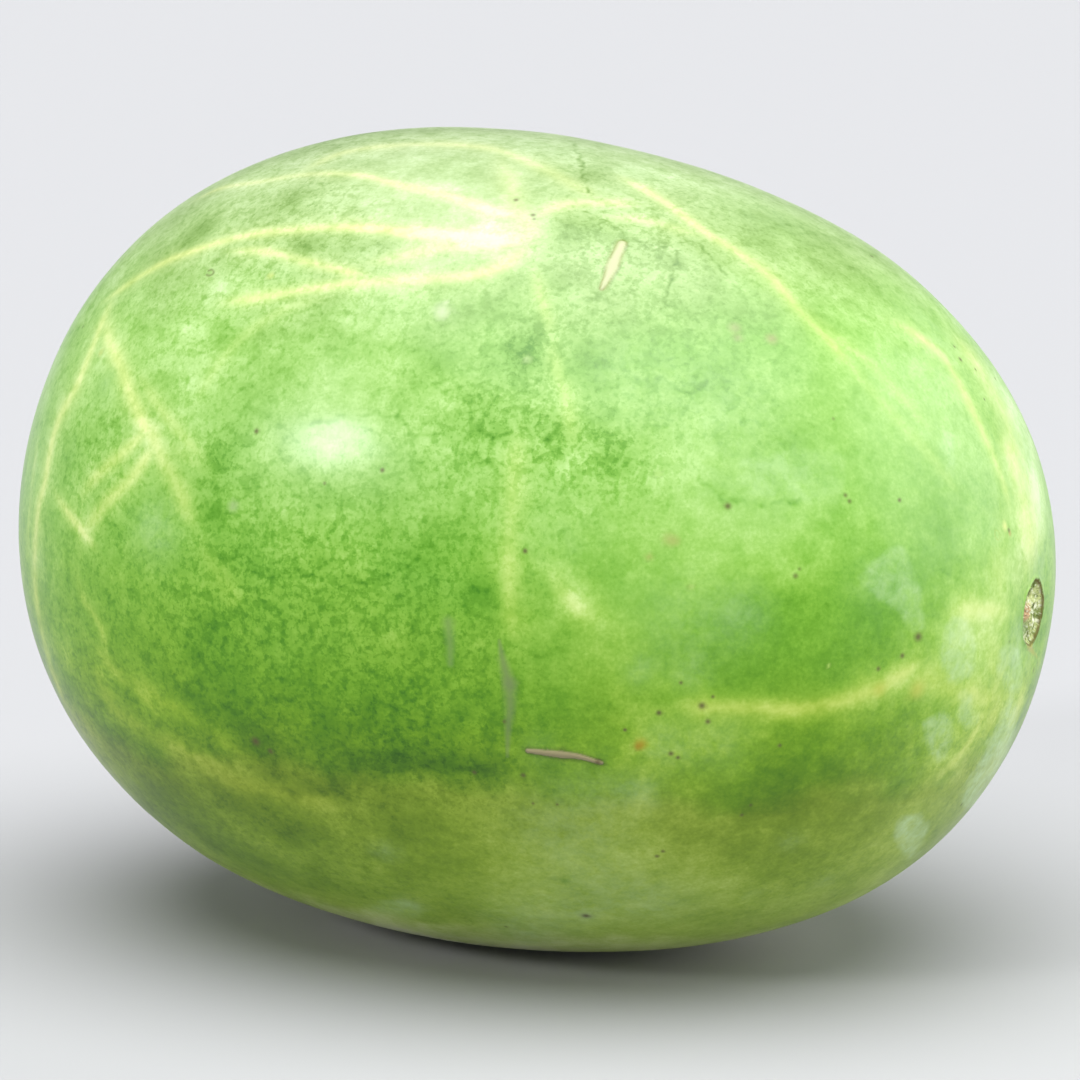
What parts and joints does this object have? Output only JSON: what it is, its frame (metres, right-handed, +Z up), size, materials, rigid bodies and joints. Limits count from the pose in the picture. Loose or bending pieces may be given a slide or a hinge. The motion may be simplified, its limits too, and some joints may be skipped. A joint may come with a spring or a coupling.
{
  "type": "watermelon",
  "caption": "Large oblong pale green watermelon lying on its side, with a stem scar, a small flower-end button and a flat resting spot.",
  "frame": {"origin": "under the middle of the fruit's box, on the surface that it rests on", "axes": "+Z up; +X along the fruit towards the stem scar; +Y across it"},
  "size_m": [0.3708, 0.2816, 0.283],
  "materials": {
    "rind": "Smooth waxy watermelon skin, softly glossy: light and dark green mottling with a net of pale yellow-green veins."
  },
  "bodies": {
    "root": {"watermelon": "rind"}
  },
  "joints": []
}
